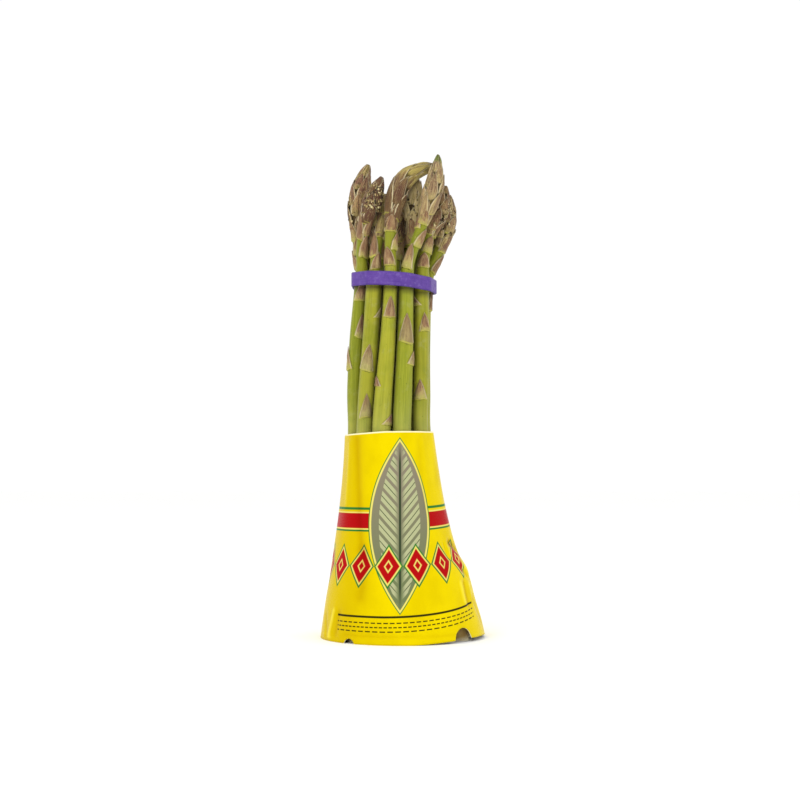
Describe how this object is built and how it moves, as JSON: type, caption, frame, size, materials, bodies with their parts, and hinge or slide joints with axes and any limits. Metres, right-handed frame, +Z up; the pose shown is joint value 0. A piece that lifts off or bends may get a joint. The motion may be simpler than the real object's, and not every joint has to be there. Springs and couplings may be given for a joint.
{
  "type": "bundle of green asparagus",
  "caption": "Upright bundle of green asparagus spears, held by a flat rubber band below the heads and a flared paper sleeve round the cut ends.",
  "frame": {"origin": "middle of the sleeve's foot, on the surface the bundle stands on", "axes": "+Z up along the spears; the front of the bundle faces -Y, with +X to the right seen from the front"},
  "size_m": [0.082, 0.0754, 0.2395],
  "materials": {
    "asparagus": "satin",
    "rubber_band": "satin",
    "paper_sleeve": "gloss"
  },
  "bodies": {
    "root": {"spear_01": "asparagus", "spear_02": "asparagus", "spear_03": "asparagus", "spear_04": "asparagus", "spear_05": "asparagus", "spear_06": "asparagus", "spear_07": "asparagus", "spear_08": "asparagus", "spear_09": "asparagus", "spear_10": "asparagus", "spear_11": "asparagus", "spear_12": "asparagus", "spear_13": "asparagus", "spear_14": "asparagus", "rubber_band": "rubber_band", "paper_sleeve": "paper_sleeve"}
  },
  "joints": []
}
